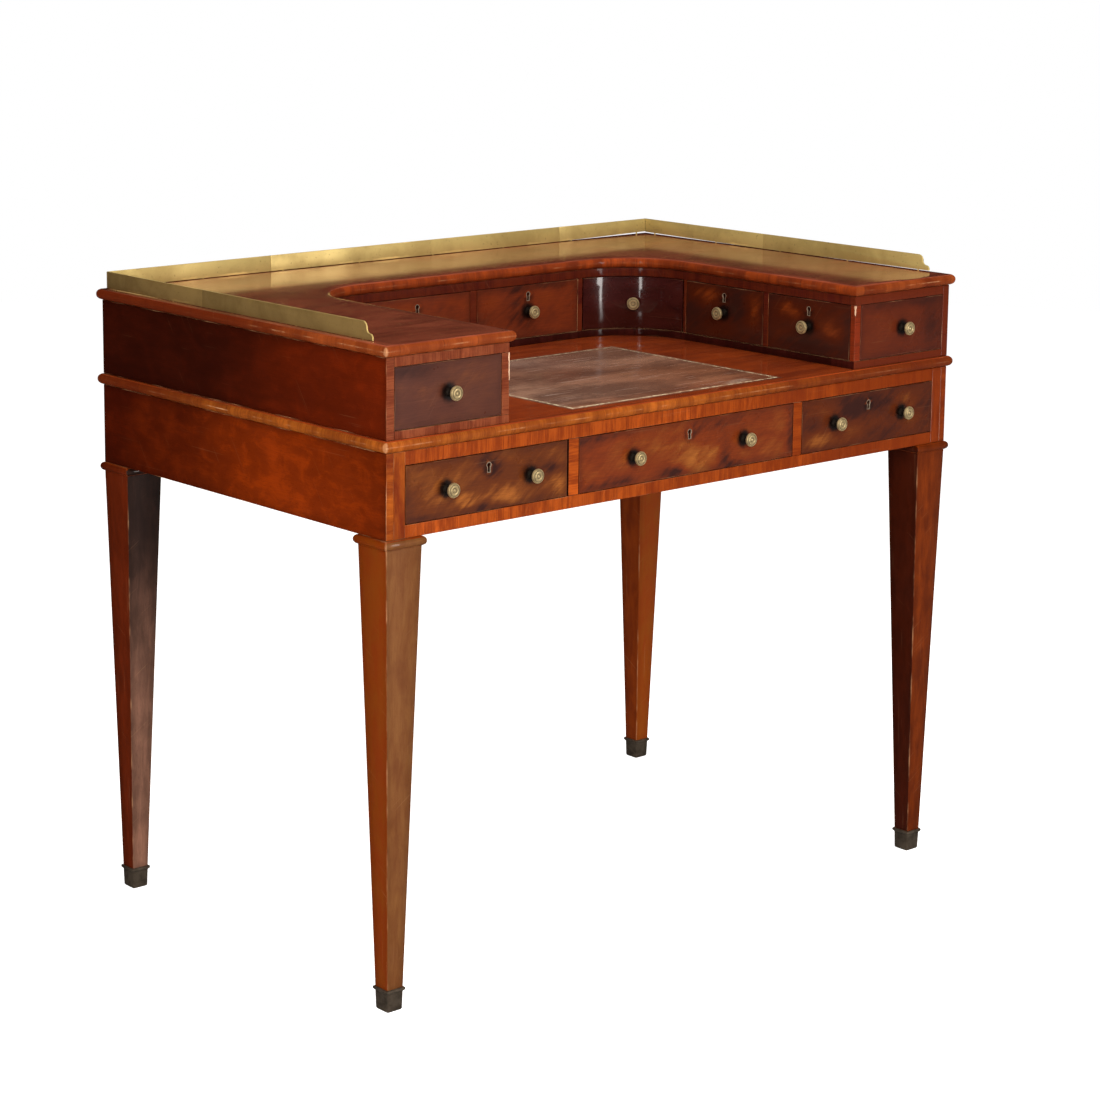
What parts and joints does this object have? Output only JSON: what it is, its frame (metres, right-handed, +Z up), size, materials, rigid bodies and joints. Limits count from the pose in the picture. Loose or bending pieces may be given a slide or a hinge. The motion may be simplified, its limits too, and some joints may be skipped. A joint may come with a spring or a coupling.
{
  "type": "carlton house desk",
  "caption": "Writing desk with a U-shaped drawer case round its leather writing surface, concave corner drawers, a low brass gallery and tapered legs.",
  "frame": {"origin": "on the floor, at the middle of the whole desk's width and depth, knobs included", "axes": "+X along the front to the writer's right, +Y towards the back, +Z up"},
  "size_m": [1.068, 0.6654, 0.9028],
  "materials": {
    "mahogany": "glossy french polish, dark red-brown",
    "flame_mahogany": "glossy french polish over flame-figured veneer",
    "crossbanded_mahogany": "polished crossbanding, orange-red, lightly worn",
    "leg_mahogany": "satin polish, warm brown",
    "brass": "aged, dull satin",
    "dark_brass": "dark patina",
    "leather": "worn, tooled round its border"
  },
  "bodies": {
    "desk": {"leg_front_left": "leg_mahogany", "cap_front_left": "dark_brass", "leg_front_right": "leg_mahogany", "cap_front_right": "dark_brass", "leg_back_left": "leg_mahogany", "cap_back_left": "dark_brass", "leg_back_right": "leg_mahogany", "cap_back_right": "dark_brass", "case_side_left": "mahogany", "case_side_right": "mahogany", "case_back": "mahogany", "frieze_rail_top": "crossbanded_mahogany", "frieze_rail_bottom": "crossbanded_mahogany", "frieze_partition_left": "crossbanded_mahogany", "frieze_partition_right": "crossbanded_mahogany", "writing_top": "mahogany", "writing_leather": "leather", "upper_floor": "crossbanded_mahogany", "upper_ceiling": "crossbanded_mahogany", "upper_side_left": "mahogany", "upper_side_right": "mahogany", "upper_back": "mahogany", "row_partition_centre": "crossbanded_mahogany", "row_partition_left": "crossbanded_mahogany", "row_partition_right": "crossbanded_mahogany", "corner_partition_left": "crossbanded_mahogany", "corner_partition_right": "crossbanded_mahogany", "arm_partition_left": "crossbanded_mahogany", "arm_partition_right": "crossbanded_mahogany", "arm_end_left": "flame_mahogany", "arm_end_left_knob": "brass", "arm_end_right": "flame_mahogany", "arm_end_right_knob": "brass", "upper_top": "mahogany", "gallery": "brass"},
    "frieze_left": {"frieze_left_drawer": "flame_mahogany", "frieze_left_knob_left": "brass", "frieze_left_knob_right": "brass"},
    "frieze_centre": {"frieze_centre_drawer": "flame_mahogany", "frieze_centre_knob_left": "brass", "frieze_centre_knob_right": "brass"},
    "frieze_right": {"frieze_right_drawer": "flame_mahogany", "frieze_right_knob_left": "brass", "frieze_right_knob_right": "brass"},
    "row_left": {"row_left_drawer": "flame_mahogany", "row_left_knob": "brass"},
    "row_right": {"row_right_drawer": "flame_mahogany", "row_right_knob": "brass"},
    "arm_left_rear": {"arm_left_rear_drawer": "flame_mahogany", "arm_left_rear_knob": "brass"},
    "arm_left_fore": {"arm_left_fore_drawer": "flame_mahogany", "arm_left_fore_knob": "brass"},
    "arm_right_rear": {"arm_right_rear_drawer": "flame_mahogany", "arm_right_rear_knob": "brass"},
    "arm_right_fore": {"arm_right_fore_drawer": "flame_mahogany", "arm_right_fore_knob": "brass"},
    "corner_left": {"corner_left_drawer": "flame_mahogany", "corner_left_knob": "brass"},
    "corner_right": {"corner_right_drawer": "flame_mahogany", "corner_right_knob": "brass"}
  },
  "joints": [
    {"name": "frieze_left_slide", "type": "slide", "parent": "desk", "child": "frieze_left", "axis": [0, -1, 0], "range_m": [0, 0.36]},
    {"name": "frieze_centre_slide", "type": "slide", "parent": "desk", "child": "frieze_centre", "axis": [0, -1, 0], "range_m": [0, 0.36]},
    {"name": "frieze_right_slide", "type": "slide", "parent": "desk", "child": "frieze_right", "axis": [0, -1, 0], "range_m": [0, 0.36]},
    {"name": "row_left_slide", "type": "slide", "parent": "desk", "child": "row_left", "axis": [0, -1, 0], "range_m": [0, 0.1]},
    {"name": "row_right_slide", "type": "slide", "parent": "desk", "child": "row_right", "axis": [0, -1, 0], "range_m": [0, 0.1]},
    {"name": "arm_left_rear_slide", "type": "slide", "parent": "desk", "child": "arm_left_rear", "axis": [1, 0, 0], "range_m": [0, 0.11]},
    {"name": "arm_left_fore_slide", "type": "slide", "parent": "desk", "child": "arm_left_fore", "axis": [1, 0, 0], "range_m": [0, 0.11]},
    {"name": "arm_right_rear_slide", "type": "slide", "parent": "desk", "child": "arm_right_rear", "axis": [-1, 0, 0], "range_m": [0, 0.11]},
    {"name": "arm_right_fore_slide", "type": "slide", "parent": "desk", "child": "arm_right_fore", "axis": [-1, 0, 0], "range_m": [0, 0.11]},
    {"name": "corner_left_slide", "type": "slide", "parent": "desk", "child": "corner_left", "axis": [-0.7071, 0.7071, 0], "range_m": [-0.1, 0]},
    {"name": "corner_right_slide", "type": "slide", "parent": "desk", "child": "corner_right", "axis": [0.7071, 0.7071, 0], "range_m": [-0.1, 0]}
  ]
}
